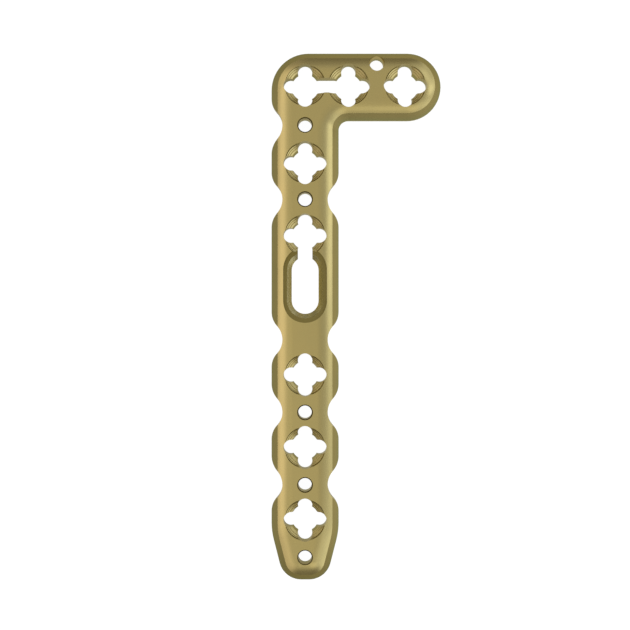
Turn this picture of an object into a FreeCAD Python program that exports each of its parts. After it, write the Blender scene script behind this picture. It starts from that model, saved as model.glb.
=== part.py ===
import FreeCAD, Part
import math
import os

import Sketcher

os.makedirs("parts", exist_ok=True)

# A low-profile L-shaped bone plate, milled from one piece of titanium.
# Frame: the underside lies on Z = 0 and the axis of the corner locking hole is the Z axis.
# The head runs along +X and the shaft along -Y. Lengths are in millimetres, angles in degrees.
# A "place" is a distance down the shaft from the corner hole, and a "side" one along the head.

SIZES = {
    # outline
    "plate_thickness": 1.8,
    "plate_length": 58.51,
    "head_length": 18.8,
    "shaft_width": 7.46,
    "head_width": 7.46,
    "outer_corner_radius": 4.1,
    "inner_corner_radius": 1.07,
    # tapered tip
    "tip_taper_angle": 14.35,
    "tip_blend_radius": 8,
    "tip_corner_radius": 2.45,
    "tip_flat_width": 0.9,
    # crowned top, from the edge inwards
    "edge_bevel_width": 0.7,
    "edge_bevel_angle": 52,
    "shoulder_tilt": 25,
    "shoulder_clearance": 0.1,
    "underside_break": 0.15,
    # scalloped necks, and how far each lies below the middle between its two holes
    "neck_width": 5,
    "scallop_radius": 2.2,
    "neck_shift": 0.12,
    "upper_neck_shift": 0.03,
    "plain_neck_place": 28.08,
    # hole pitches along the head, then along the shaft
    "head_pitch_near": 4.8,
    "head_pitch_far": 6.27,
    "head_end_distance": 4,
    "corner_pitch": 8.54,
    "shaft_pitch": 8,
    "slot_pitch": 15.43,
    "tip_distance": 6.81,
    # section of a locking hole, from the top down
    "mouth_diameter": 4.58,
    "rim_depth": 0.235,
    "rim_angle": 67,
    "seat_angle": 35,
    "seat_end_diameter": 3.24,
    "throat_height": 0.35,
    "throat_diameter": 2.98,
    "flare_depth": 0.1,
    "flare_angle": 50,
    # the four relief lobes that part a locking hole's seat into columns
    "lobe_diameter": 1.62,
    "lobe_offset": 1.57,
    # wire holes
    "wire_hole_diameter": 1.5,
    "wire_rim_width": 0.12,
    "wire_rim_angle": 50,
    "relief_diameter": 1.7,
    "relief_shift": 0.15,
    "relief_level": 1.03,
    "tip_wire_hole_distance": 4.13,
    "head_wire_hole_offset": 2.335,
    # compression slot
    "slot_width": 3,
    "slot_travel": 3.34,
    "slot_distance": 3.84,
    "recess_width": 5,
    "recess_wall_angle": 60,
    "recess_crease_width": 4,
    "recess_floor_angle": 42,
    # how far a cutting profile runs past the metal
    "overrun": 0.5,
}

# Worked out from the driving dimensions
DERIVED = {
    "half_shaft": "sizes.shaft_width / 2",
    "half_head": "sizes.head_width / 2",
    "head_end_centre": "sizes.head_length - (sizes.shaft_width + sizes.head_width) / 2",
    "tip_place": "sizes.plate_length - sizes.head_width / 2",
    "half_tip_flat": "sizes.tip_flat_width / 2",
    "outline_start": "sizes.head_width / 2 + sizes.inner_corner_radius",
    # crown
    "shoulder_width": "sizes.tip_corner_radius - sizes.edge_bevel_width - sizes.shoulder_clearance",
    "shoulder_radius": "shoulder_width / sin(sizes.shoulder_tilt * 1 deg)",
    "crease_side": "half_shaft - sizes.edge_bevel_width",
    "crown_overrun": "sizes.inner_corner_radius / 2",
    "crown_outside": "half_shaft + crown_overrun",
    "above_top": "sizes.plate_thickness + sizes.overrun",
    # scallop
    "scallop_centre": "sizes.neck_width / 2 + sizes.scallop_radius",
    "scallop_outside": "half_shaft + sizes.overrun",
    # The pitches share out the plate's length and the head's. Where they don't add up to it, each
    # stretches alike.
    "shaft_pitches": "sizes.corner_pitch + 3 * sizes.shaft_pitch + sizes.slot_pitch + sizes.tip_distance",
    "shaft_stretch": "tip_place / shaft_pitches",
    "head_pitches": "sizes.head_pitch_near + sizes.head_pitch_far + sizes.head_end_distance",
    "head_stretch": "(sizes.head_length - half_shaft) / head_pitches",
    # hole places
    "first_place": "shaft_stretch * sizes.corner_pitch",
    "second_place": "first_place + shaft_stretch * sizes.shaft_pitch",
    "third_place": "second_place + shaft_stretch * sizes.slot_pitch",
    "fourth_place": "third_place + shaft_stretch * sizes.shaft_pitch",
    "fifth_place": "fourth_place + shaft_stretch * sizes.shaft_pitch",
    "head_middle_side": "head_stretch * sizes.head_pitch_near",
    "head_end_side": "head_middle_side + head_stretch * sizes.head_pitch_far",
    # neck and wire hole places
    "corner_neck_place": "first_place / 2 + sizes.neck_shift",
    "upper_neck_place": "(first_place + second_place) / 2 + sizes.upper_neck_shift",
    "plain_neck_place": "shaft_stretch * sizes.plain_neck_place",
    "lower_neck_place": "(third_place + fourth_place) / 2 + sizes.neck_shift",
    "last_neck_place": "(fourth_place + fifth_place) / 2 + sizes.neck_shift",
    "tip_wire_place": "fifth_place + shaft_stretch * sizes.tip_wire_hole_distance",
    "head_wire_side": "(head_middle_side + head_end_side) / 2",
    # locking hole section
    "mouth_radius": "sizes.mouth_diameter / 2",
    "seat_start_radius": "mouth_radius - sizes.rim_depth / tan(sizes.rim_angle * 1 deg)",
    "seat_start_level": "sizes.plate_thickness - sizes.rim_depth",
    "seat_end_radius": "sizes.seat_end_diameter / 2",
    "seat_drop": "(seat_start_radius - seat_end_radius) * tan(sizes.seat_angle * 1 deg)",
    "seat_end_level": "seat_start_level - seat_drop",
    "throat_radius": "sizes.throat_diameter / 2",
    "flare_radius": "throat_radius + (sizes.flare_depth + sizes.overrun) / tan(sizes.flare_angle * 1 deg)",
    "lobe_radius": "sizes.lobe_diameter / 2",
    "wire_hole_radius": "sizes.wire_hole_diameter / 2",
    "wire_rim_radius": "wire_hole_radius + sizes.wire_rim_width",
    "wire_rim_drop": "sizes.wire_rim_width * tan(sizes.wire_rim_angle * 1 deg)",
    "wire_rim_level": "sizes.plate_thickness - wire_rim_drop",
    "relief_radius": "sizes.relief_diameter / 2",
    "relief_offset": "sizes.head_wire_hole_offset + sizes.relief_shift",
    # compression slot
    "slot_place": "second_place + shaft_stretch * sizes.slot_distance",
    "slot_end_place": "slot_place + shaft_stretch * sizes.slot_travel",
    "slot_radius": "sizes.slot_width / 2",
    "recess_radius": "sizes.recess_width / 2",
    "crease_radius": "sizes.recess_crease_width / 2",
    "recess_wall": "(recess_radius - crease_radius) * tan(sizes.recess_wall_angle * 1 deg)",
    "recess_crease_level": "sizes.plate_thickness - recess_wall",
    "recess_floor": "(crease_radius - slot_radius) * tan(sizes.recess_floor_angle * 1 deg)",
    "recess_floor_level": "recess_crease_level - recess_floor",
}

document = FreeCAD.newDocument("orthopedic_bone_plate")

sheet = document.addObject("Spreadsheet::Sheet", "sizes")
for row, (alias, number) in enumerate(SIZES.items(), start=1):
    sheet.set(f"A{row}", alias.replace("_", " "))
    sheet.set(f"B{row}", str(number))
    sheet.setAlias(f"B{row}", alias)
document.recompute()

derived = document.addObject("Spreadsheet::Sheet", "derived")
for row, (alias, formula) in enumerate(DERIVED.items(), start=1):
    derived.set(f"A{row}", alias.replace("_", " "))
    derived.set(f"B{row}", "=" + formula)
    derived.setAlias(f"B{row}", alias)
document.recompute()


def value(expression):
    """The number that an expression on the two sheets gives."""
    return float(derived.evalExpression(expression))


NODE = "bone_plate"
plate = document.addObject("PartDesign::Body", NODE)
plate.Label = NODE


def origin_plane(role):
    return next(item for item in plate.Origin.OriginFeatures if item.Role == role)


def new_sketch(role, name, shift=None, turned=False):
    """A new sketch on an origin plane. shift binds its offset along x, y or z to an expression, and a
    turned sketch faces the other way round."""
    sketch = plate.newObject("Sketcher::SketchObject", name)
    sketch.AttachmentSupport = [(origin_plane(role), "")]
    sketch.MapMode = "FlatFace"
    if turned:
        facing = FreeCAD.Rotation(FreeCAD.Vector(0, 0, 1), HALF_TURN)
        sketch.AttachmentOffset = FreeCAD.Placement(FreeCAD.Vector(0, 0, 0), facing)
    for axis, expression in (shift or {}).items():
        sketch.setExpression(f"AttachmentOffset.Base.{axis}", expression)
    return sketch


# A sketch's own numbers: the points of an item from 1, and -1 for the horizontal axis
START, END, CENTRE = range(1, 4)
X_AXIS = -1
ORIGIN = (X_AXIS, START)

HALF_TURN = 180
FULL_TURN = 2 * HALF_TURN


def point(x, y):
    return FreeCAD.Vector(x, y, 0)


def add_line(sketch, start, end):
    return sketch.addGeometry(Part.LineSegment(point(*start), point(*end)), False)


def add_circle(sketch, centre, radius):
    return sketch.addGeometry(Part.Circle(point(*centre), FreeCAD.Vector(0, 0, 1), radius), False)


def add_arc(sketch, centre, radius, start_angle, end_angle):
    """An arc that runs anticlockwise from start_angle to end_angle, in degrees."""
    circle = Part.Circle(point(*centre), FreeCAD.Vector(0, 0, 1), radius)
    arc = Part.ArcOfCircle(circle, math.radians(start_angle), math.radians(end_angle))
    return sketch.addGeometry(arc, False)


def bind(sketch, expression, kind, *terms, in_degrees=False):
    """A constraint whose size follows an expression on the sheets."""
    number = value(expression)
    if in_degrees:
        index = sketch.addConstraint(Sketcher.Constraint(kind, *terms, math.radians(number)))
        expression = f"1 deg * ({expression})"
    else:
        index = sketch.addConstraint(Sketcher.Constraint(kind, *terms, number))
    name = f"size_{index}"
    sketch.renameConstraint(index, name)
    sketch.setExpression(f"Constraints.{name}", expression)


def relate(sketch, kind, *pairs):
    for pair in pairs:
        sketch.addConstraint(Sketcher.Constraint(kind, *pair))


def place_point(sketch, item, end, right=None, left=None, up=None, down=None):
    """Binds a point's distances from the sketch's origin."""
    if right:
        bind(sketch, right, "DistanceX", *ORIGIN, item, end)
    if left:
        bind(sketch, left, "DistanceX", item, end, *ORIGIN)
    if up:
        bind(sketch, up, "DistanceY", *ORIGIN, item, end)
    if down:
        bind(sketch, down, "DistanceY", item, end, *ORIGIN)


def pin_to_spot(sketch, item, end, spot):
    """Binds a point to a spot, a dictionary of place_point's distances. What it leaves out is zero."""
    place_point(sketch, item, end, **spot)
    if not {"right", "left"} & set(spot):
        relate(sketch, "Vertical", (item, end, *ORIGIN))
    if not {"up", "down"} & set(spot):
        relate(sketch, "Horizontal", (item, end, *ORIGIN))


def place_of(spot):
    """A spot's coordinates."""
    distance = {way: value(expression) for way, expression in spot.items()}
    across = distance.get("right", 0) - distance.get("left", 0)
    along = distance.get("up", 0) - distance.get("down", 0)
    return across, along


def check(feature):
    """Recomputes the document and stops if the new feature failed."""
    document.recompute()
    if {"Invalid", "Error"} & set(feature.State) or feature.Shape.isNull():
        raise RuntimeError(f"{feature.Name} failed: {feature.State}")
    return feature


def cut_through(sketch, name):
    """A pocket from the underside up through the whole plate."""
    before = plate.Shape.Volume
    pocket = plate.newObject("PartDesign::Pocket", name)
    pocket.Profile = sketch
    pocket.Type = "ThroughAll"
    pocket.Reversed = True
    check(pocket)
    if not pocket.Shape.Volume < before:
        raise RuntimeError(f"{name} cuts nothing")
    return pocket


def cut_round(sketch, name):
    """A full turn of the sketch about its own vertical axis."""
    before = plate.Shape.Volume
    groove = plate.newObject("PartDesign::Groove", name)
    groove.Profile = sketch
    groove.ReferenceAxis = (sketch, ["V_Axis"])
    groove.Angle = FULL_TURN
    check(groove)
    if not groove.Shape.Volume < before:
        raise RuntimeError(f"{name} cuts nothing")
    return groove


# Outline: an L with a rounded head end and a tapered tip
def draw_outline(sketch):
    taper = value("sizes.tip_taper_angle")
    lean = math.radians(taper)
    half_shaft, half_head = value("half_shaft"), value("half_head")
    outer, inner = value("sizes.outer_corner_radius"), value("sizes.inner_corner_radius")
    blend, corner = value("sizes.tip_blend_radius"), value("sizes.tip_corner_radius")
    half_flat = value("half_tip_flat")
    head_end_x, tip_y = value("head_end_centre"), -value("tip_place")

    corner_y = tip_y + corner
    corner_top = (half_flat + corner * math.cos(lean), corner_y - corner * math.sin(lean))
    blend_x = half_shaft - blend
    blend_end_x = blend_x + blend * math.cos(lean)
    blend_end_y = corner_top[1] + (blend_end_x - corner_top[0]) / math.tan(lean)
    blend_y = blend_end_y + blend * math.sin(lean)

    right_side = add_line(sketch, (half_shaft, -half_head - inner), (half_shaft, blend_y))
    right_blend = add_arc(sketch, (blend_x, blend_y), blend, -taper, 0)
    right_taper = add_line(sketch, (blend_end_x, blend_end_y), corner_top)
    right_corner = add_arc(sketch, (half_flat, corner_y), corner, -90, -taper)
    tip_flat = add_line(sketch, (half_flat, tip_y), (-half_flat, tip_y))
    left_corner = add_arc(sketch, (-half_flat, corner_y), corner, 180 + taper, 270)
    left_taper = add_line(sketch, (-corner_top[0], corner_top[1]), (-blend_end_x, blend_end_y))
    left_blend = add_arc(sketch, (-blend_x, blend_y), blend, 180, 180 + taper)
    left_side = add_line(sketch, (-half_shaft, blend_y), (-half_shaft, half_head - outer))
    outer_corner = add_arc(sketch, (outer - half_shaft, half_head - outer), outer, 90, 180)
    head_top = add_line(sketch, (outer - half_shaft, half_head), (head_end_x, half_head))
    head_end = add_arc(sketch, (head_end_x, 0), half_head, -90, 90)
    head_bottom = add_line(sketch, (head_end_x, -half_head), (half_shaft + inner, -half_head))
    inner_corner = add_arc(sketch, (half_shaft + inner, -half_head - inner), inner, 90, 180)

    relate(
        sketch,
        "Tangent",
        (right_side, END, right_blend, END),
        (right_blend, START, right_taper, START),
        (right_taper, END, right_corner, END),
        (right_corner, START, tip_flat, START),
        (tip_flat, END, left_corner, END),
        (left_corner, START, left_taper, START),
        (left_taper, END, left_blend, END),
        (left_blend, START, left_side, START),
        (left_side, END, outer_corner, END),
        (outer_corner, START, head_top, START),
        (head_top, END, head_end, END),
        (head_end, START, head_bottom, START),
        (head_bottom, END, inner_corner, START),
        (inner_corner, END, right_side, START),
    )
    relate(sketch, "Vertical", (right_side,), (left_side,))
    relate(sketch, "Horizontal", (tip_flat,), (head_top,), (head_bottom,))
    relate(sketch, "PointOnObject", (head_end, CENTRE, X_AXIS))
    for arc, radius in (
        (right_blend, "sizes.tip_blend_radius"),
        (left_blend, "sizes.tip_blend_radius"),
        (right_corner, "sizes.tip_corner_radius"),
        (left_corner, "sizes.tip_corner_radius"),
        (outer_corner, "sizes.outer_corner_radius"),
        (inner_corner, "sizes.inner_corner_radius"),
        (head_end, "derived.half_head"),
    ):
        bind(sketch, radius, "Radius", arc)
    place_point(sketch, right_side, END, right="derived.half_shaft")
    place_point(sketch, left_side, END, left="derived.half_shaft")
    place_point(sketch, head_end, CENTRE, right="derived.head_end_centre")
    place_point(sketch, tip_flat, START, right="derived.half_tip_flat", down="derived.tip_place")
    place_point(sketch, tip_flat, END, left="derived.half_tip_flat")
    bind(sketch, "-(90 + sizes.tip_taper_angle)", "Angle", right_taper, in_degrees=True)
    bind(sketch, "90 + sizes.tip_taper_angle", "Angle", left_taper, in_degrees=True)


# Crowned edge: a rounded shoulder that ends in a crease, then a steep bevel
def draw_edge_section(sketch):
    thickness, above = value("sizes.plate_thickness"), value("above_top")
    tilt = value("sizes.shoulder_tilt")
    radius = value("shoulder_radius")
    crease_x = value("crease_side")
    inside_x = crease_x - value("shoulder_width")
    outside_x = value("crown_outside")
    slope = math.tan(math.radians(value("sizes.edge_bevel_angle")))
    crease_level = thickness - radius * (1 - math.cos(math.radians(tilt)))
    low_level = crease_level - (outside_x - crease_x) * slope

    shoulder = add_arc(sketch, (inside_x, thickness - radius), radius, 90 - tilt, 90)
    bevel = add_line(sketch, (crease_x, crease_level), (outside_x, low_level))
    outer = add_line(sketch, (outside_x, low_level), (outside_x, above))
    upper = add_line(sketch, (outside_x, above), (inside_x, above))
    inner = add_line(sketch, (inside_x, above), (inside_x, thickness))

    relate(
        sketch,
        "Coincident",
        (shoulder, START, bevel, START),
        (bevel, END, outer, START),
        (outer, END, upper, START),
        (upper, END, inner, START),
        (inner, END, shoulder, END),
    )
    relate(sketch, "Vertical", (outer,), (inner,), (shoulder, END, shoulder, CENTRE))
    relate(sketch, "Horizontal", (upper,))
    bind(sketch, "derived.shoulder_radius", "Radius", shoulder)
    bind(sketch, "derived.shoulder_width", "DistanceX", shoulder, END, shoulder, START)
    bind(sketch, "-sizes.edge_bevel_angle", "Angle", bevel, in_degrees=True)
    place_point(sketch, shoulder, START, right="derived.crease_side")
    place_point(sketch, shoulder, END, up="sizes.plate_thickness")
    place_point(sketch, outer, END, right="derived.crown_outside", up="derived.above_top")


# Scallop: a hollow arc between two round ones, all of one radius, cut into the right-hand side
def draw_scallop(sketch):
    half_shaft, outside = value("half_shaft"), value("scallop_outside")
    radius, centre = value("sizes.scallop_radius"), value("scallop_centre")
    across = centre - (half_shaft - radius)
    reach = math.sqrt((2 * radius) ** 2 - across**2)
    turn = math.degrees(math.atan2(reach, across))

    hollow = add_arc(sketch, (centre, 0), radius, 180 - turn, 180 + turn)
    upper = add_arc(sketch, (half_shaft - radius, reach), radius, -turn, 0)
    lower = add_arc(sketch, (half_shaft - radius, -reach), radius, 0, turn)
    low_side = add_line(sketch, (half_shaft, -reach), (outside, -reach))
    outer_side = add_line(sketch, (outside, -reach), (outside, reach))
    high_side = add_line(sketch, (outside, reach), (half_shaft, reach))

    relate(sketch, "Tangent", (hollow, START, upper, START), (hollow, END, lower, END))
    relate(
        sketch,
        "Coincident",
        (lower, START, low_side, START),
        (low_side, END, outer_side, START),
        (outer_side, END, high_side, START),
        (high_side, END, upper, END),
    )
    relate(sketch, "Horizontal", (low_side,), (high_side,))
    relate(sketch, "Horizontal", (upper, END, upper, CENTRE), (lower, START, lower, CENTRE))
    relate(sketch, "Vertical", (outer_side,))
    relate(sketch, "PointOnObject", (hollow, CENTRE, X_AXIS))
    for arc in (hollow, upper, lower):
        bind(sketch, "sizes.scallop_radius", "Radius", arc)
    place_point(sketch, hollow, CENTRE, right="derived.scallop_centre")
    place_point(sketch, upper, END, right="derived.half_shaft")
    place_point(sketch, lower, START, right="derived.half_shaft")
    place_point(sketch, outer_side, END, right="derived.scallop_outside")


def draw_polygon(sketch, corners):
    """A closed outline of straight lines between spots."""
    points = [place_of(corner) for corner in corners]
    lines = [add_line(sketch, points[k - 1], points[k]) for k in range(len(points))]
    for k, line in enumerate(lines):
        relate(sketch, "Coincident", (line, END, lines[(k + 1) % len(lines)], START))
        pin_to_spot(sketch, line, END, corners[k])


outline = new_sketch("XY_Plane", "outline")
draw_outline(outline)
blank = plate.newObject("PartDesign::Pad", "blank")
blank.Profile = outline
blank.setExpression("Length", "sizes.plate_thickness")
check(blank)

edge_section = new_sketch("XZ_Plane", "edge_section", {"z": "derived.outline_start"})
draw_edge_section(edge_section)
document.recompute()
crown = plate.newObject("PartDesign::SubtractivePipe", "crown")
crown.Profile = edge_section
crown.Spine = (outline, [f"Edge{number}" for number in range(1, len(outline.Shape.Edges) + 1)])
crown.Mode = "Binormal"
crown.Binormal = FreeCAD.Vector(0, 0, 1)
check(crown)

# Necks: the corner has a scallop on its left only, the others on both sides
corner_scallop = new_sketch("XY_Plane", "corner_scallop", {"y": "-derived.corner_neck_place"}, turned=True)
draw_scallop(corner_scallop)
cut_through(corner_scallop, "corner_neck")
right_necks = []
for name, place in (
    ("upper_neck", "derived.upper_neck_place"),
    ("plain_neck", "derived.plain_neck_place"),
    ("lower_neck", "derived.lower_neck_place"),
    ("last_neck", "derived.last_neck_place"),
):
    scallop = new_sketch("XY_Plane", f"{name}_scallop", {"y": f"-{place}"})
    draw_scallop(scallop)
    right_necks.append(cut_through(scallop, name))
left_necks = plate.newObject("PartDesign::Mirrored", "left_necks")
left_necks.Originals = right_necks
left_necks.MirrorPlane = (origin_plane("YZ_Plane"), [""])
plate.Tip = left_necks
check(left_necks)


TOUCHING = 1e-4


def edge_names(shape, wanted):
    return [f"Edge{k}" for k, edge in enumerate(shape.Edges, start=1) if wanted(edge)]


def lies_on_underside(edge):
    return abs(edge.BoundBox.ZMax) < TOUCHING


# The underside's outer edge is broken all round
underside_edge = plate.newObject("PartDesign::Chamfer", "underside_edge")
underside_edge.Base = (left_necks, edge_names(left_necks.Shape, lies_on_underside))
underside_edge.setExpression("Size", "sizes.underside_break")
check(underside_edge)

# Wire holes: one in each neck but the plain one, one in the tip and one near the head's top edge
SHAFT_WIRE_HOLES = [
    {"down": "derived.corner_neck_place"},
    {"down": "derived.upper_neck_place"},
    {"down": "derived.lower_neck_place"},
    {"down": "derived.last_neck_place"},
    {"down": "derived.tip_wire_place"},
]
HEAD_WIRE_HOLE = {"right": "derived.head_wire_side", "up": "sizes.head_wire_hole_offset"}


def draw_circles(sketch, spots, radius):
    for spot in spots:
        circle = add_circle(sketch, place_of(spot), value(radius))
        bind(sketch, radius, "Radius", circle)
        pin_to_spot(sketch, circle, CENTRE, spot)


wire_hole_outlines = new_sketch("XY_Plane", "wire_hole_outlines")
draw_circles(wire_hole_outlines, [*SHAFT_WIRE_HOLES, HEAD_WIRE_HOLE], "derived.wire_hole_radius")
cut_through(wire_hole_outlines, "wire_holes")


# The shaft's wire holes have countersunk rims
WIRE_RIM_SECTION = [
    {"up": "derived.above_top"},
    {"up": "derived.wire_rim_level"},
    {"right": "derived.wire_hole_radius", "up": "derived.wire_rim_level"},
    {"right": "derived.wire_rim_radius", "up": "sizes.plate_thickness"},
    {"right": "derived.wire_rim_radius", "up": "derived.above_top"},
]
for number, spot in enumerate(SHAFT_WIRE_HOLES, start=1):
    wire_rim_section = new_sketch("XZ_Plane", f"wire_rim_section_{number}", {"z": spot["down"]})
    draw_polygon(wire_rim_section, WIRE_RIM_SECTION)
    cut_round(wire_rim_section, f"wire_rim_{number}")

# The head's wire hole breaks through the bevel, where a flat relief takes off the thin lip at its outer side
RELIEF_SECTION = [
    {"up": "derived.above_top"},
    {"up": "sizes.relief_level"},
    {"right": "derived.relief_radius", "up": "sizes.relief_level"},
    {"right": "derived.relief_radius", "up": "derived.above_top"},
]
relief_shift = {"x": "derived.head_wire_side", "z": "-derived.relief_offset"}
relief_section = new_sketch("XZ_Plane", "head_wire_relief_section", relief_shift)
draw_polygon(relief_section, RELIEF_SECTION)
cut_round(relief_section, "head_wire_relief")

# Compression slot: a through slot in a recess, whose steep wall ends in a gentler floor for a screw's head
def draw_slot(sketch):
    radius = value("slot_radius")
    high, low = -value("slot_place"), -value("slot_end_place")
    high_end = add_arc(sketch, (0, high), radius, 0, HALF_TURN)
    low_end = add_arc(sketch, (0, low), radius, HALF_TURN, FULL_TURN)
    left_side = add_line(sketch, (-radius, high), (-radius, low))
    right_side = add_line(sketch, (radius, low), (radius, high))
    relate(
        sketch,
        "Tangent",
        (high_end, END, left_side, START),
        (left_side, END, low_end, START),
        (low_end, END, right_side, START),
        (right_side, END, high_end, START),
    )
    relate(sketch, "Vertical", (left_side,), (right_side,))
    bind(sketch, "derived.slot_radius", "Radius", high_end)
    pin_to_spot(sketch, high_end, CENTRE, {"down": "derived.slot_place"})
    place_point(sketch, low_end, CENTRE, down="derived.slot_end_place")


# The recess's section, from its middle at the top: half of it, to be turned at each end of the slot
RECESS_END_SECTION = [
    {"up": "derived.above_top"},
    {"up": "derived.recess_floor_level"},
    {"right": "derived.slot_radius", "up": "derived.recess_floor_level"},
    {"right": "derived.crease_radius", "up": "derived.recess_crease_level"},
    {"right": "derived.recess_radius", "up": "sizes.plate_thickness"},
    {"right": "derived.recess_radius", "up": "derived.above_top"},
]


def across_from(spot):
    """The spot as far to the left as it was to the right."""
    return {"left" if way == "right" else way: distance for way, distance in spot.items()}


# The whole width, to be cut along the slot
recess_side = RECESS_END_SECTION[2:]
RECESS_SECTION = recess_side + [across_from(spot) for spot in reversed(recess_side)]

slot = new_sketch("XY_Plane", "slot_outline")
draw_slot(slot)
cut_through(slot, "slot")
for name, place in (("high_end_recess", "derived.slot_place"), ("low_end_recess", "derived.slot_end_place")):
    recess_end = new_sketch("XZ_Plane", f"{name}_section", {"z": place})
    draw_polygon(recess_end, RECESS_END_SECTION)
    cut_round(recess_end, name)
recess_section = new_sketch("XZ_Plane", "recess_section", {"z": "derived.slot_place"})
draw_polygon(recess_section, RECESS_SECTION)
volume_before = plate.Shape.Volume
recess = plate.newObject("PartDesign::Pocket", "recess")
recess.Profile = recess_section
recess.Reversed = True
recess.setExpression("Length", "sizes.slot_travel")
check(recess)
if not recess.Shape.Volume < volume_before:
    raise RuntimeError("recess cuts nothing")

# Locking holes. From the top down: a short steep rim, a conical seat for the screw's threaded head,
# a steeper cone to the throat, and a flare below that lets the screw lean.
# Each is its name, its distance across from the shaft's centre line and its place.
LOCKING_HOLES = [
    ("corner_hole", None, None),
    ("head_middle_hole", "derived.head_middle_side", None),
    ("head_end_hole", "derived.head_end_side", None),
    ("first_hole", None, "derived.first_place"),
    ("second_hole", None, "derived.second_place"),
    ("third_hole", None, "derived.third_place"),
    ("fourth_hole", None, "derived.fourth_place"),
    ("fifth_hole", None, "derived.fifth_place"),
]
SEAT_SECTION = [
    {"up": "derived.above_top"},
    {"down": "sizes.overrun"},
    {"right": "derived.flare_radius", "down": "sizes.overrun"},
    {"right": "derived.throat_radius", "up": "sizes.flare_depth"},
    {"right": "derived.throat_radius", "up": "sizes.throat_height"},
    {"right": "derived.seat_end_radius", "up": "derived.seat_end_level"},
    {"right": "derived.seat_start_radius", "up": "derived.seat_start_level"},
    {"right": "derived.mouth_radius", "up": "sizes.plate_thickness"},
    {"right": "derived.mouth_radius", "up": "derived.above_top"},
]
for name, across, place in LOCKING_HOLES:
    shift = {axis: distance for axis, distance in (("x", across), ("z", place)) if distance}
    seat_section = new_sketch("XZ_Plane", f"{name}_section", shift)
    draw_polygon(seat_section, SEAT_SECTION)
    cut_round(seat_section, f"{name}_seat")


def lobes_of(across, place):
    """The spots of a locking hole's four lobes."""
    middle = {axis: distance for axis, distance in (("right", across), ("down", place)) if distance}
    offset = "sizes.lobe_offset"
    left = {"right": f"{across} - {offset}"} if across else {"left": offset}
    high = {"down": f"{place} - {offset}"} if place else {"up": offset}
    return [
        {**middle, "right": f"{across} + {offset}" if across else offset},
        {**middle, "down": f"{place} + {offset}" if place else offset},
        {**middle, **left},
        {**middle, **high},
    ]


# The relief lobes part each seat into four columns
lobe_outlines = new_sketch("XY_Plane", "lobe_outlines")
for _, across, place in LOCKING_HOLES:
    draw_circles(lobe_outlines, lobes_of(across, place), "derived.lobe_radius")
cut_through(lobe_outlines, "lobes")

# Straight channels as wide as a lobe: corner hole to its neighbour, and second hole to the slot
channel_outlines = new_sketch("XY_Plane", "channel_outlines")
head_channel = [
    {"right": "sizes.lobe_offset", "down": "derived.lobe_radius"},
    {"right": "derived.head_middle_side - sizes.lobe_offset", "down": "derived.lobe_radius"},
    {"right": "derived.head_middle_side - sizes.lobe_offset", "up": "derived.lobe_radius"},
    {"right": "sizes.lobe_offset", "up": "derived.lobe_radius"},
]
slot_channel = [
    {"left": "derived.lobe_radius", "down": "derived.slot_place"},
    {"right": "derived.lobe_radius", "down": "derived.slot_place"},
    {"right": "derived.lobe_radius", "down": "derived.second_place + sizes.lobe_offset"},
    {"left": "derived.lobe_radius", "down": "derived.second_place + sizes.lobe_offset"},
]
for channel in (head_channel, slot_channel):
    draw_polygon(channel_outlines, channel)
cut_through(channel_outlines, "channels")

# The finished solid is checked before its file is written
for item in document.Objects:
    if {"Invalid", "Error"} & set(item.State):
        raise RuntimeError(f"{item.Name}: {item.State}")
    if item.isDerivedFrom("Sketcher::SketchObject") and not item.FullyConstrained:
        raise RuntimeError(f"{item.Name} is loose")
if plate.Shape.isNull() or not plate.Shape.isValid() or len(plate.Shape.Solids) != 1:
    raise RuntimeError("the plate isn't one valid solid")
plate.Shape.exportStep(f"parts/{NODE}.step")
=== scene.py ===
import math

import bpy
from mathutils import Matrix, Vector


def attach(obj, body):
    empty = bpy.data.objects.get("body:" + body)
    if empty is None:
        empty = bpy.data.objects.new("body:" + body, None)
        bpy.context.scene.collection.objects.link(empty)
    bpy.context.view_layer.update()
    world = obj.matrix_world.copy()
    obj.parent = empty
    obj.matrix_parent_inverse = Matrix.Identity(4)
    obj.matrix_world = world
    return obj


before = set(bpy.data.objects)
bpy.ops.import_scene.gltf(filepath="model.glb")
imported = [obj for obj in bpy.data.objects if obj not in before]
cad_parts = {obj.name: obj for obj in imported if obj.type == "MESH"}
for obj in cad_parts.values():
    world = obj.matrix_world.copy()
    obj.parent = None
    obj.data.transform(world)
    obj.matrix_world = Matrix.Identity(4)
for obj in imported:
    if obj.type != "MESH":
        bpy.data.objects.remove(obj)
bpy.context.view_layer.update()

# Dresses the bone plate: anodised titanium, thread ridges in the locking holes, a white table and soft light.
# Everything is in metres in the plate's own frame, with the underside on z = 0.

MM = 0.001
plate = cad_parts["bone_plate"]

# Camera, above the plate and looking straight down
CAMERA_PLACE = Vector((1.10, -25.35, 132.4)) * MM
LENS = 67.7
SENSOR_WIDTH = 36
CLIP_START, CLIP_END = 0.005, 20

# Locking holes, in mm: their centres, the seat cone's mouth and slope, and the thread on it
LOCKING_HOLES = [
    (0, 0),
    (4.8, 0),
    (11.07, 0),
    (0, -8.54),
    (0, -16.54),
    (0, -31.97),
    (0, -39.97),
    (0, -47.97),
]
SEAT_MOUTH_LEVEL = 1.565
SEAT_MOUTH_RADIUS = 2.19
SEAT_SLOPE = math.radians(35)
THREAD_START_RADIUS = 2.15
THREAD_END_RADIUS = 1.68
THREAD_STEP = 0.20
POINTS_PER_TURN = 120
RIDGE_HEIGHT = 0.022
RIDGE_WIDTH = 0.15
RIDGE_CREST_SHARE = 0.22
RIDGE_ROOT = 0.02
METAL_REACH = 0.02

# Slot, in mm: the ends of its middle line and the half width of its recess
SLOT_NEAR_END = -20.38
SLOT_FAR_END = -23.72
RECESS_HALF_WIDTH = 2.52

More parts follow.
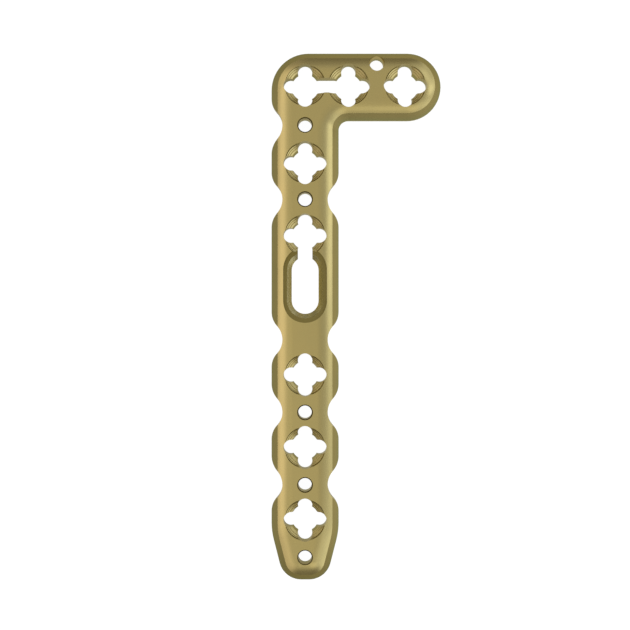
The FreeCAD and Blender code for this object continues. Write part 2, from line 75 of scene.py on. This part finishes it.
# Titanium's oxide: gold and olive in a slow mottle. Painted shade tints the flanks greener towards their foot,
# and the recess has painted light on its floor and painted shade on its wall
NO_TINT = (1, 1, 1, 1)
OXIDE_GOLD = (0.528, 0.408, 0.145, 1)
OXIDE_OLIVE = (0.478, 0.385, 0.145, 1)
# Painted shade: the flanks' tint at their top and at their foot, and the levels in mm between which it changes
FLANK_TOP_SHADE_TINT = (0.97, 1.0, 1.00, 1)
FLANK_FOOT_SHADE_TINT = (0.80, 1.0, 1.10, 1)
FLANK_TOP_LEVEL = 1.05
FLANK_FOOT_LEVEL = 0.25
# Painted light on the recess floor and painted shade on its steep wall
RECESS_PAINTED_LIGHT_FLOOR = (0.735, 0.640, 0.300, 1)
RECESS_PAINTED_SHADE_WALL = (0.168, 0.124, 0.016, 1)
BARE_EDGE = (0.60, 0.50, 0.26, 1)

# The metal's shine at a glancing angle, dimmed on the flanks and on the walls as painted shade
PAINTED_SHADE_SHINE_FLANK = (0.55, 0.52, 0.42, 1)
PAINTED_SHADE_SHINE_WALL = (0.76, 0.70, 0.50, 1)

# Roughness over the mottle, and what the flanks and the worn edges add to it
ROUGHNESS_MOTTLE = 0.06
ROUGHNESS_FLANK = 0.06
ROUGHNESS_WORN = -0.08

# Grain: the coarse noise's share of the height, and the fine noise has the rest
COARSE_GRAIN_SHARE = 0.65


def node_group(name, kind, inputs, outputs):
    """An empty node tree with named sockets. inputs are (name, type, default)."""
    group = bpy.data.node_groups.new(name, kind)
    for label, socket, default in inputs:
        made = group.interface.new_socket(label, in_out="INPUT", socket_type=socket)
        if default is not None:
            made.default_value = default
    for label, socket in outputs:
        group.interface.new_socket(label, in_out="OUTPUT", socket_type=socket)
    return group


def add_node(tree, kind, links=None, values=None, **settings):
    """A node with its settings, its plain input values and its linked inputs, by the inputs' names."""
    made = tree.nodes.new(kind)
    for key, setting in settings.items():
        setattr(made, key, setting)
    for key, plain in (values or {}).items():
        made.inputs[key].default_value = plain
    for key, source in (links or {}).items():
        tree.links.new(source, made.inputs[key])
    return made


def math_node(tree, operation, *terms, clamp=False):
    """A Math node's result. Each term is a number or a socket."""
    made = tree.nodes.new("ShaderNodeMath")
    made.operation = operation
    made.use_clamp = clamp
    for socket, term in zip(made.inputs, terms):
        if isinstance(term, (int, float)):
            socket.default_value = term
        else:
            tree.links.new(term, socket)
    return made.outputs[0]


def place_group(tree, group, links=None, **values):
    """The outputs of a shader group's node, with its plain input values and its linked inputs."""
    made = tree.nodes.new("ShaderNodeGroup")
    made.node_tree = group
    for key, plain in values.items():
        made.inputs[key.replace("_", " ")].default_value = plain
    for key, source in (links or {}).items():
        tree.links.new(source, made.inputs[key])
    return made.outputs


def mix_colour(tree, factor, first, second):
    """A Mix node's colour. Each term is a plain value or a socket."""
    made = tree.nodes.new("ShaderNodeMix")
    made.data_type = "RGBA"
    made.clamp_factor = True
    for key, term in (("Factor_Float", factor), ("A_Color", first), ("B_Color", second)):
        socket = next(s for s in made.inputs if s.identifier == key)
        if isinstance(term, (tuple, float, int)):
            socket.default_value = term
        else:
            tree.links.new(term, socket)
    return next(s for s in made.outputs if s.identifier == "Result_Color")


# Shader groups shared by the plate and its thread
def grain_group():
    """The fine satin grain that blasting leaves, as a height, and a slow mottle."""
    group = node_group(
        "blasted_grain",
        "ShaderNodeTree",
        [
            ("Vector", "NodeSocketVector", None),
            ("Coarse Scale", "NodeSocketFloat", 9000.0),
            ("Fine Scale", "NodeSocketFloat", 26000.0),
            ("Mottle Scale", "NodeSocketFloat", 420.0),
        ],
        [("Height", "NodeSocketFloat"), ("Mottle", "NodeSocketFloat")],
    )
    start = group.nodes.new("NodeGroupInput").outputs
    end = group.nodes.new("NodeGroupOutput").inputs

    def noise(scale, detail):
        made = add_node(
            group,
            "ShaderNodeTexNoise",
            links={"Vector": start["Vector"], "Scale": start[scale]},
            values={"Detail": detail, "Roughness": 0.55},
        )
        return made.outputs["Fac"]

    coarse, fine = noise("Coarse Scale", 2.0), noise("Fine Scale", 1.0)
    fine_part = math_node(group, "MULTIPLY", fine, 1 - COARSE_GRAIN_SHARE)
    height = math_node(group, "MULTIPLY_ADD", coarse, COARSE_GRAIN_SHARE, fine_part)
    group.links.new(height, end["Height"])
    group.links.new(noise("Mottle Scale", 3.0), end["Mottle"])
    return group


def flank_group():
    """Masks by how far a face leans from level: the steep flanks, the upright walls, and any slope at all."""
    group = node_group(
        "steep_flank",
        "ShaderNodeTree",
        [
            ("Gentle", "NodeSocketFloat", 0.73),
            ("Steep", "NodeSocketFloat", 0.61),
            ("Leaning", "NodeSocketFloat", 0.45),
            ("Upright", "NodeSocketFloat", 0.20),
            ("Level", "NodeSocketFloat", 0.90),
            ("Sloping", "NodeSocketFloat", 0.78),
        ],
        [("Flank", "NodeSocketFloat"), ("Wall", "NodeSocketFloat"), ("Slope", "NodeSocketFloat")],
    )
    start = group.nodes.new("NodeGroupInput").outputs
    end = group.nodes.new("NodeGroupOutput").inputs
    normal = add_node(group, "ShaderNodeNewGeometry").outputs["Normal"]
    upright = add_node(group, "ShaderNodeSeparateXYZ", links={"Vector": normal}).outputs["Z"]
    level = math_node(group, "ABSOLUTE", upright)
    for mask, steep, gentle in (
        ("Flank", "Steep", "Gentle"),
        ("Wall", "Upright", "Leaning"),
        ("Slope", "Sloping", "Level"),
    ):
        ramp = add_node(
            group,
            "ShaderNodeMapRange",
            links={"Value": level, "From Min": start[steep], "From Max": start[gentle]},
            values={"To Min": 1.0, "To Max": 0.0},
            interpolation_type="SMOOTHSTEP",
        )
        group.links.new(ramp.outputs["Result"], end[mask])
    return group


def recess_group():
    """A mask of the slot's recess, whose floor is painted paler as painted light and whose steep wall is
    painted darker as painted shade.
    """
    group = node_group(
        "slot_recess",
        "ShaderNodeTree",
        [
            ("Vector", "NodeSocketVector", None),
            ("Near End", "NodeSocketFloat", SLOT_NEAR_END * MM),
            ("Far End", "NodeSocketFloat", SLOT_FAR_END * MM),
            ("Half Width", "NodeSocketFloat", RECESS_HALF_WIDTH * MM),
        ],
        [("Mask", "NodeSocketFloat")],
    )
    start = group.nodes.new("NodeGroupInput").outputs
    end = group.nodes.new("NodeGroupOutput").inputs
    place = add_node(group, "ShaderNodeSeparateXYZ", links={"Vector": start["Vector"]}).outputs
    above_far = math_node(group, "MAXIMUM", start["Far End"], place["Y"])
    beside = math_node(group, "MINIMUM", start["Near End"], above_far)
    along = math_node(group, "SUBTRACT", place["Y"], beside)
    along_square = math_node(group, "MULTIPLY", along, along)
    square = math_node(group, "MULTIPLY_ADD", place["X"], place["X"], along_square)
    inside = math_node(group, "LESS_THAN", math_node(group, "SQRT", square), start["Half Width"])
    group.links.new(inside, end["Mask"])
    return group


def edge_wear_group():
    """A broken mask of the sharp edges, where handling has brightened the oxide."""
    group = node_group(
        "edge_wear",
        "ShaderNodeTree",
        [
            ("Vector", "NodeSocketVector", None),
            ("Radius", "NodeSocketFloat", 0.06 * MM),
            ("Sharpness", "NodeSocketFloat", 5.0),
            ("Breakup Scale", "NodeSocketFloat", 2600.0),
            ("Strength", "NodeSocketFloat", 0.5),
        ],
        [("Mask", "NodeSocketFloat")],
    )
    start = group.nodes.new("NodeGroupInput").outputs
    end = group.nodes.new("NodeGroupOutput").inputs
    rounded = add_node(group, "ShaderNodeBevel", links={"Radius": start["Radius"]}, samples=4)
    flat = add_node(group, "ShaderNodeNewGeometry").outputs["Normal"]
    likeness = add_node(
        group,
        "ShaderNodeVectorMath",
        links={0: rounded.outputs["Normal"], 1: flat},
        operation="DOT_PRODUCT",
    )
    turned = math_node(group, "SUBTRACT", 1.0, likeness.outputs["Value"])
    edge = math_node(group, "MULTIPLY", turned, start["Sharpness"], clamp=True)
    breakup = add_node(
        group,
        "ShaderNodeTexNoise",
        links={"Vector": start["Vector"], "Scale": start["Breakup Scale"]},
        values={"Detail": 3.0},
    )
    broken = add_node(
        group,
        "ShaderNodeMapRange",
        links={"Value": breakup.outputs["Fac"]},
        values={"From Min": 0.35, "From Max": 0.65, "To Min": 0.3, "To Max": 1.0},
    )
    worn = math_node(group, "MULTIPLY", edge, broken.outputs["Result"])
    group.links.new(math_node(group, "MULTIPLY", worn, start["Strength"]), end["Mask"])
    return group


GRAIN = grain_group()
FLANK = flank_group()
RECESS = recess_group()
EDGE_WEAR = edge_wear_group()


def anodised_titanium(name, roughness, grain_depth, wear, flank_painted_shade, wall_painted_shade):
    """Satin titanium under a gold olive oxide, darker on its flanks and walls as painted shade, with painted
    light and shade in the slot's recess, and brighter at its worn edges.
    """
    material = bpy.data.materials.new(name)
    material.use_nodes = True
    tree = material.node_tree
    tree.nodes.clear()
    out = tree.nodes.new("ShaderNodeOutputMaterial")
    shader = tree.nodes.new("ShaderNodeBsdfPrincipled")
    tree.links.new(shader.outputs["BSDF"], out.inputs["Surface"])
    shader.inputs["Metallic"].default_value = 1.0
    place = tree.nodes.new("ShaderNodeTexCoord").outputs["Object"]

    grain = place_group(tree, GRAIN, {"Vector": place})
    steepness = place_group(tree, FLANK)
    recess = place_group(tree, RECESS, {"Vector": place})["Mask"]
    flank = math_node(tree, "MULTIPLY", steepness["Flank"], math_node(tree, "SUBTRACT", 1.0, recess))
    sunk = math_node(tree, "MULTIPLY", recess, steepness["Slope"])
    wall = steepness["Wall"]
    worn = place_group(tree, EDGE_WEAR, {"Vector": place}, Strength=wear)["Mask"]

    oxide = mix_colour(tree, grain["Mottle"], OXIDE_GOLD, OXIDE_OLIVE)
    level = add_node(tree, "ShaderNodeSeparateXYZ", links={"Vector": place}).outputs["Z"]
    depth = add_node(
        tree,
        "ShaderNodeMapRange",
        links={"Value": level},
        values={"From Min": FLANK_TOP_LEVEL * MM, "From Max": FLANK_FOOT_LEVEL * MM},
    )
    # Painted shade: the flanks' colour is tinted greener towards their foot
    painted_shade_tint = mix_colour(tree, depth.outputs["Result"], FLANK_TOP_SHADE_TINT, FLANK_FOOT_SHADE_TINT)
    shade_tinted_oxide = add_node(
        tree,
        "ShaderNodeVectorMath",
        links={0: oxide, 1: mix_colour(tree, flank, NO_TINT, painted_shade_tint)},
        operation="MULTIPLY",
    )
    # Painted shade: the base colour is darkened on the flanks and on the walls
    flank_painted_dimming = math_node(tree, "SUBTRACT", 1.0, math_node(tree, "MULTIPLY", flank, flank_painted_shade))
    wall_painted_dimming = math_node(tree, "SUBTRACT", 1.0, math_node(tree, "MULTIPLY", wall, wall_painted_shade))
    shaded = add_node(
        tree,
        "ShaderNodeVectorMath",
        links={0: shade_tinted_oxide.outputs["Vector"], "Scale": math_node(tree, "MULTIPLY", flank_painted_dimming, wall_painted_dimming)},
        operation="SCALE",
    )
    # Painted light and shade in the recess: its floor painted paler, its steep wall painted darker
    recess_painted_light_and_shade = mix_colour(tree, steepness["Flank"], RECESS_PAINTED_LIGHT_FLOOR, RECESS_PAINTED_SHADE_WALL)
    with_recess = mix_colour(tree, sunk, shaded.outputs["Vector"], recess_painted_light_and_shade)
    coloured = mix_colour(tree, worn, with_recess, BARE_EDGE)
    tree.links.new(coloured, shader.inputs["Base Color"])
    # Painted shade: the glancing shine is dimmed on the flanks and on the walls
    painted_shade_shine = mix_colour(tree, flank, NO_TINT, PAINTED_SHADE_SHINE_FLANK)
    tree.links.new(mix_colour(tree, wall, painted_shade_shine, PAINTED_SHADE_SHINE_WALL), shader.inputs["Specular Tint"])

    least = roughness - ROUGHNESS_MOTTLE / 2
    varied = math_node(tree, "MULTIPLY_ADD", grain["Mottle"], ROUGHNESS_MOTTLE, least)
    duller = math_node(tree, "MULTIPLY_ADD", flank, ROUGHNESS_FLANK, varied)
    polished = math_node(tree, "MULTIPLY_ADD", worn, ROUGHNESS_WORN, duller)
    tree.links.new(polished, shader.inputs["Roughness"])

    bump = add_node(
        tree,
        "ShaderNodeBump",
        links={"Height": grain["Height"]},
        values={"Strength": 1.0, "Distance": grain_depth},
    )
    tree.links.new(bump.outputs["Normal"], shader.inputs["Normal"])
    return material


# Both finishes darken their flanks and walls with painted shade
plate_finish = anodised_titanium(
    "anodised_titanium",
    roughness=0.25,
    grain_depth=0.0012 * MM,
    wear=0.2,
    flank_painted_shade=0.41,
    wall_painted_shade=0.10,
)
thread_finish = anodised_titanium(
    "anodised_thread",
    roughness=0.26,
    grain_depth=0.0008 * MM,
    wear=0.2,
    flank_painted_shade=0.15,
    wall_painted_shade=0.10,
)

plate.data.materials.clear()
plate.data.materials.append(plate_finish)


# Thread: a V-shaped ridge that winds down each seat, kept only where the seat has metal
def thread_tree():
    """A tree that winds one ridge round each point, on the metal alone, with its section square to the seat."""
    tree = node_group(
        "seat_thread",
        "GeometryNodeTree",
        [
            ("Geometry", "NodeSocketGeometry", None),
            ("Plate", "NodeSocketObject", None),
            ("Start Radius", "NodeSocketFloat", 0.0),
            ("End Radius", "NodeSocketFloat", 0.0),
            ("Start Level", "NodeSocketFloat", 0.0),
            ("Drop", "NodeSocketFloat", 0.0),
            ("Turns", "NodeSocketFloat", 3.0),
            ("Ridge Height", "NodeSocketFloat", 0.0),
            ("Ridge Width", "NodeSocketFloat", 0.0),
            ("Crest Share", "NodeSocketFloat", 0.0),
            ("Ridge Root", "NodeSocketFloat", 0.0),
            ("Seat Slope", "NodeSocketFloat", 0.0),
            ("Reach", "NodeSocketFloat", 0.0),
            ("Finish", "NodeSocketMaterial", None),
        ],
        [("Geometry", "NodeSocketGeometry")],
    )
    start = tree.nodes.new("NodeGroupInput").outputs
    end = tree.nodes.new("NodeGroupOutput").inputs

    # One winding line for every hole
    winding = add_node(
        tree,
        "GeometryNodeCurveSpiral",
        links={
            "Rotations": start["Turns"],
            "Start Radius": start["Start Radius"],
            "End Radius": start["End Radius"],
            "Height": math_node(tree, "MULTIPLY", start["Drop"], -1.0),
        },
        values={"Resolution": POINTS_PER_TURN},
    )
    lift = add_node(tree, "ShaderNodeCombineXYZ", links={"Z": start["Start Level"]})
    line = add_node(tree, "GeometryNodeCurveToMesh", links={"Curve": winding.outputs["Curve"]})
    raised = add_node(
        tree,
        "GeometryNodeTransform",
        links={"Geometry": line.outputs["Mesh"], "Translation": lift.outputs["Vector"]},
    )
    placed = add_node(
        tree,
        "GeometryNodeInstanceOnPoints",
        links={"Points": start["Geometry"], "Instance": raised.outputs["Geometry"]},
    )
    lines = add_node(tree, "GeometryNodeRealizeInstances", links={"Geometry": placed.outputs["Instances"]})

    # Points with no metal under them go
    metal = add_node(tree, "GeometryNodeObjectInfo", links={"Object": start["Plate"]})
    nearest = add_node(
        tree,
        "GeometryNodeProximity",
        links={"Geometry": metal.outputs["Geometry"]},
        target_element="FACES",
    )
    away = add_node(
        tree,
        "FunctionNodeCompare",
        links={"A": nearest.outputs["Distance"], "B": start["Reach"]},
        data_type="FLOAT",
        operation="GREATER_THAN",
    )
    kept = add_node(
        tree,
        "GeometryNodeDeleteGeometry",
        links={"Geometry": lines.outputs["Geometry"], "Selection": away.outputs["Result"]},
        domain="POINT",
    )

    # The ridge's section stands square to the seat
    arcs = add_node(tree, "GeometryNodeMeshToCurve", links={"Mesh": kept.outputs["Geometry"]})
    upright = add_node(
        tree,
        "GeometryNodeSetCurveNormal",
        links={"Curve": arcs.outputs["Curve"]},
        mode="Z_UP",
    )
    half = math_node(tree, "MULTIPLY", start["Ridge Width"], 0.5)
    crest = math_node(tree, "MULTIPLY", half, start["Crest Share"])
    root = math_node(tree, "MULTIPLY", start["Ridge Root"], -1.0)

    def corner(across, height):
        return add_node(tree, "ShaderNodeCombineXYZ", links={"X": height, "Y": across}).outputs["Vector"]

    section = add_node(
        tree,
        "GeometryNodeCurvePrimitiveQuadrilateral",
        links={
            "Point 1": corner(half, root),
            "Point 2": corner(crest, start["Ridge Height"]),
            "Point 3": corner(math_node(tree, "MULTIPLY", crest, -1.0), start["Ridge Height"]),
            "Point 4": corner(math_node(tree, "MULTIPLY", half, -1.0), root),
        },
        mode="POINTS",
    )
    lean = add_node(tree, "ShaderNodeCombineXYZ", links={"Z": start["Seat Slope"]})
    leaning = add_node(
        tree,
        "GeometryNodeTransform",
        links={"Geometry": section.outputs["Curve"], "Rotation": lean.outputs["Vector"]},
    )
    ridges = add_node(
        tree,
        "GeometryNodeCurveToMesh",
        links={"Curve": upright.outputs["Curve"], "Profile Curve": leaning.outputs["Geometry"]},
        values={"Fill Caps": True},
    )
    real = add_node(tree, "GeometryNodeRealizeInstances", links={"Geometry": ridges.outputs["Mesh"]})
    coated = add_node(
        tree,
        "GeometryNodeSetMaterial",
        links={"Geometry": real.outputs["Geometry"], "Material": start["Finish"]},
    )
    tree.links.new(coated.outputs["Geometry"], end["Geometry"])
    return tree


def plain_mesh(name, source):
    """A new object at the origin with source's evaluated mesh. The source is removed."""
    bpy.context.view_layer.update()
    evaluated = source.evaluated_get(bpy.context.evaluated_depsgraph_get())
    mesh = bpy.data.meshes.new_from_object(evaluated)
    bpy.data.objects.remove(source)
    mesh.name = name
    made = bpy.data.objects.new(name, mesh)
    bpy.context.scene.collection.objects.link(made)
    return made


def cut_thread():
    """The thread on all the seats, as one plain mesh."""
    centres = bpy.data.meshes.new("hole_centres")
    centres.from_pydata([(x * MM, y * MM, 0) for x, y in LOCKING_HOLES], [], [])
    source = bpy.data.objects.new("hole_centres", centres)
    bpy.context.scene.collection.objects.link(source)
    tree = thread_tree()
    modifier = source.modifiers.new("seat_thread", "NODES")
    modifier.node_group = tree
    slope = math.tan(SEAT_SLOPE)
    sizes = {
        "Plate": plate,
        "Start Radius": THREAD_START_RADIUS * MM,
        "End Radius": THREAD_END_RADIUS * MM,
        "Start Level": (SEAT_MOUTH_LEVEL - (SEAT_MOUTH_RADIUS - THREAD_START_RADIUS) * slope) * MM,
        "Drop": (THREAD_START_RADIUS - THREAD_END_RADIUS) * slope * MM,
        "Turns": (THREAD_START_RADIUS - THREAD_END_RADIUS) / THREAD_STEP,
        "Ridge Height": RIDGE_HEIGHT * MM,
        "Ridge Width": RIDGE_WIDTH * MM,
        "Crest Share": RIDGE_CREST_SHARE,
        "Ridge Root": RIDGE_ROOT * MM,
        "Seat Slope": SEAT_SLOPE,
        "Reach": METAL_REACH * MM,
        "Finish": thread_finish,
    }
    names = {item.name: item.identifier for item in tree.interface.items_tree if item.in_out == "INPUT"}
    for name, size in sizes.items():
        modifier[names[name]] = size
    return plain_mesh("locking_thread", source)


thread = cut_thread()
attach(thread, "root")


# Table: white to the eye and in reflections, and it keeps a soft shadow. It lies just below the plate, at a
# level in mm. Its glow in the metal's reflections is weakened in places as painted shade: along an axis, from a
# low place to a high place in mm, and its strength at each.
TABLE_HALF = 4.0
TABLE_LEVEL = -0.02
TABLE_ALBEDO = 0.15
TABLE_GLOW = 0.96
TABLE_PAINTED_SHEEN = [
    ("X", -6, 6, 0.78, 1.0),
    ("Y", -2, 7, 1.0, 0.86),
    ("Y", -55.5, -51, 0.72, 1.0),
]


def table_finish(name, albedo, glow):
    """A matt table that looks white to the camera and in reflections, with painted shade in its reflections in
    places, and is clear from below.
    """
    material = bpy.data.materials.new(name)
    material.use_nodes = True
    tree = material.node_tree
    tree.nodes.clear()
    out = tree.nodes.new("ShaderNodeOutputMaterial")
    matt = add_node(tree, "ShaderNodeBsdfDiffuse", values={"Color": (albedo, albedo, albedo, 1)})
    path = tree.nodes.new("ShaderNodeLightPath").outputs
    spot = tree.nodes.new("ShaderNodeTexCoord").outputs["Object"]
    place = add_node(tree, "ShaderNodeSeparateXYZ", links={"Vector": spot}).outputs
    # Painted shade in reflections: the table's glow that the metal mirrors is weakened along each axis
    painted_sheen_strength = path["Is Glossy Ray"]
    for axis, low, high, at_low, at_high in TABLE_PAINTED_SHEEN:
        ramp = add_node(
            tree,
            "ShaderNodeMapRange",
            links={"Value": place[axis]},
            values={"From Min": low * MM, "From Max": high * MM, "To Min": at_low, "To Max": at_high},
            interpolation_type="SMOOTHSTEP",
        )
        painted_sheen_strength = math_node(tree, "MULTIPLY", painted_sheen_strength, ramp.outputs["Result"])
    seen = math_node(
        tree,
        "MAXIMUM",
        math_node(tree, "MAXIMUM", path["Is Camera Ray"], painted_sheen_strength),
        path["Is Transmission Ray"],
    )
    shine = add_node(
        tree,
        "ShaderNodeEmission",
        links={"Strength": math_node(tree, "MULTIPLY", seen, glow)},
        values={"Color": (1, 1, 1, 1)},
    )
    both = add_node(tree, "ShaderNodeAddShader", links={0: matt.outputs[0], 1: shine.outputs[0]})
    clear = tree.nodes.new("ShaderNodeBsdfTransparent")
    below = tree.nodes.new("ShaderNodeNewGeometry").outputs["Backfacing"]
    sides = add_node(
        tree,
        "ShaderNodeMixShader",
        links={0: below, 1: both.outputs[0], 2: clear.outputs[0]},
    )
    tree.links.new(sides.outputs[0], out.inputs["Surface"])
    return material


table_mesh = bpy.data.meshes.new("table")
table_mesh.from_pydata(
    [(x * TABLE_HALF, y * TABLE_HALF, TABLE_LEVEL * MM) for x, y in ((-1, -1), (1, -1), (1, 1), (-1, 1))],
    [],
    [(0, 1, 2, 3)],
)
table = bpy.data.objects.new("table", table_mesh)
table_mesh.materials.append(table_finish("white_table", TABLE_ALBEDO, TABLE_GLOW))
bpy.context.scene.collection.objects.link(table)

# Light: a dim room with soft panels above the plate. Each panel is its tilt from straight up, its turn from
# the picture's right, how far it reaches from its middle, its brightness there and its colour. Angles are
# in degrees.
ROOM = 0.27
WHITE = (1.0, 1.0, 1.0)
COOL = (0.90, 1.0, 1.26)
WARM = (1.06, 1.0, 1.13)
PANELS = [
    (38, 180, 20, 1.06, WARM),
    (67, 0, 34, 0.52, COOL),
    (24, 240, 28, 0.40, WHITE),
    (12, 120, 28, 0.43, WHITE),
    (24, 300, 20, 0.20, WHITE),
    (38, 40, 14, 0.73, COOL),
    (50, 219, 28, 0.60, WARM),
    (38, 140, 20, 0.65, WARM),
    (32, 0, 28, 0.34, COOL),
    (38, 60, 20, 0.46, COOL),
    (32, 292, 14, 0.48, WHITE),
    (44, 326, 20, 0.10, COOL),
    (48, 17, 14, 0.66, COOL),
    (44, 120, 28, 0.22, WARM),
    (39, 6, 10, 1.10, COOL),
    (63, 324, 24, 1.15, COOL),
    (35, 316, 16, 0.55, COOL),
    (44, 337, 12, 0.38, COOL),
    (66, 43, 25, 0.72, COOL),
    (63, 145, 24, 0.40, WHITE),
    (31, 275, 18, 0.16, COOL),
]


def panel_group():
    """A soft round panel of light: brightest in the direction Towards, and nothing beyond its reach."""
    group = node_group(
        "soft_panel",
        "ShaderNodeTree",
        [
            ("Vector", "NodeSocketVector", None),
            ("Towards", "NodeSocketVector", None),
            ("Reach", "NodeSocketFloat", 20.0),
            ("Brightness", "NodeSocketFloat", 1.0),
        ],
        [("Light", "NodeSocketFloat")],
    )
    start = group.nodes.new("NodeGroupInput").outputs
    end = group.nodes.new("NodeGroupOutput").inputs
    facing = add_node(
        group,
        "ShaderNodeVectorMath",
        links={0: start["Vector"], 1: start["Towards"]},
        operation="DOT_PRODUCT",
    )
    edge = math_node(group, "COSINE", math_node(group, "RADIANS", start["Reach"]))
    fade = add_node(
        group,
        "ShaderNodeMapRange",
        links={"Value": facing.outputs["Value"], "From Min": edge, "To Max": start["Brightness"]},
        values={"From Max": 1.0, "To Min": 0.0},
        interpolation_type="SMOOTHSTEP",
    )
    group.links.new(fade.outputs["Result"], end["Light"])
    return group


def light_room():
    """The world: the room's own light and the panels', summed by direction."""
    world = bpy.data.worlds.new("room")
    world.use_nodes = True
    tree = world.node_tree
    background = tree.nodes["Background"].inputs
    background["Strength"].default_value = 1.0
    direction = tree.nodes.new("ShaderNodeTexCoord").outputs["Generated"]
    panel = panel_group()
    light = add_node(tree, "ShaderNodeCombineXYZ", values={"X": ROOM, "Y": ROOM, "Z": ROOM}).outputs["Vector"]
    for tilt, turn, reach, brightness, colour in PANELS:
        tilt, turn = math.radians(tilt), math.radians(turn)
        towards = (math.sin(tilt) * math.cos(turn), math.sin(tilt) * math.sin(turn), math.cos(tilt))
        links = {"Vector": direction}
        made = place_group(tree, panel, links, Towards=towards, Reach=reach, Brightness=brightness)
        coloured = add_node(
            tree,
            "ShaderNodeVectorMath",
            links={"Scale": made["Light"]},
            values={0: colour},
            operation="SCALE",
        )
        summed = add_node(
            tree,
            "ShaderNodeVectorMath",
            links={0: light, 1: coloured.outputs["Vector"]},
            operation="ADD",
        )
        light = summed.outputs["Vector"]
    tree.links.new(light, background["Color"])
    bpy.context.scene.world = world


light_room()

camera = bpy.data.cameras.new("camera")
camera.lens = LENS
camera.sensor_width = SENSOR_WIDTH
camera.clip_start, camera.clip_end = CLIP_START, CLIP_END
eye = bpy.data.objects.new("camera", camera)
eye.location = CAMERA_PLACE
bpy.context.scene.collection.objects.link(eye)
bpy.context.scene.camera = eye
bpy.context.scene.view_settings.view_transform = "Standard"
